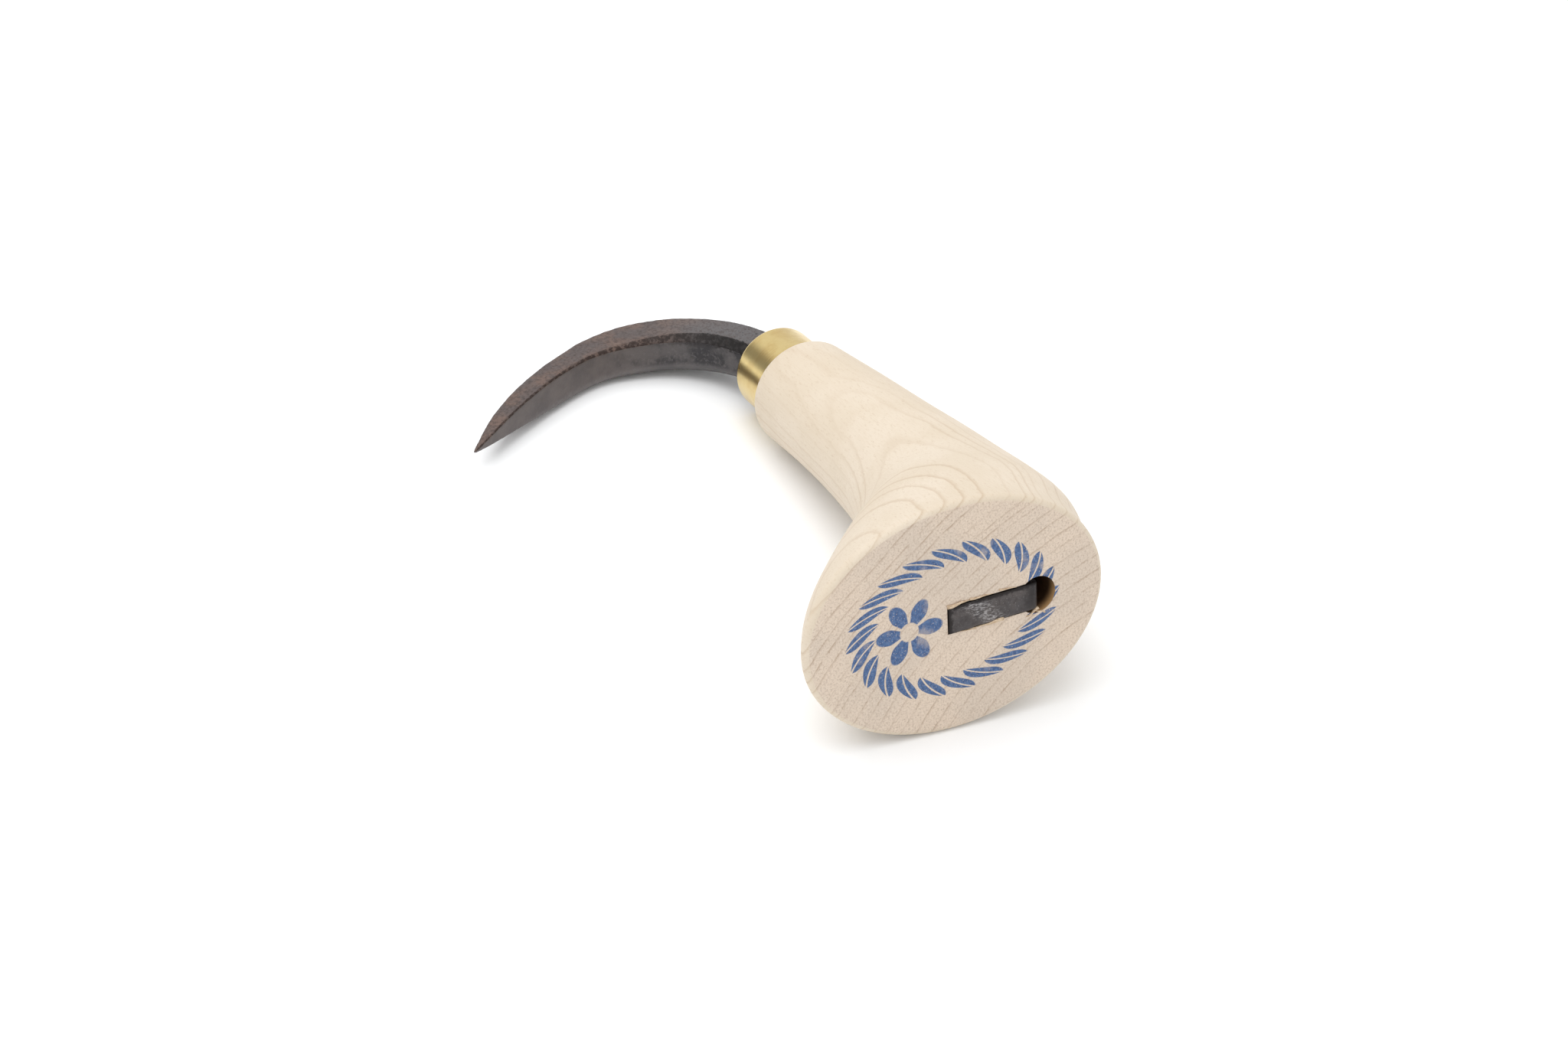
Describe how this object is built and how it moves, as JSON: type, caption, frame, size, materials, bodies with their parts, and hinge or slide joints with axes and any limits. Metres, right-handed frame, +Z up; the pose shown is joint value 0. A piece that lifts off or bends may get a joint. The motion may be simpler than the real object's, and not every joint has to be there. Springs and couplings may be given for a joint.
{
  "type": "hand hook",
  "caption": "Pointed forged hand hook with a flared wooden handle, brass ferrule and a through tang clinched over on the butt, for snagging and dragging loads.",
  "frame": {"origin": "middle of the footprint, on the table that the tool lies on", "axes": "+X along the handle from the butt to the hook, level; +Y towards the side that the point is on; +Z up, nearly square to the flat of the hook"},
  "size_m": [0.1532, 0.094, 0.0505],
  "materials": {
    "forged_steel": "black forge scale with a brown cast, satin",
    "brass": "fine brushed",
    "pale_wood": "sanded, unfinished"
  },
  "bodies": {
    "root": {"hook": "forged_steel", "ferrule": "brass", "handle": "pale_wood"}
  },
  "joints": []
}
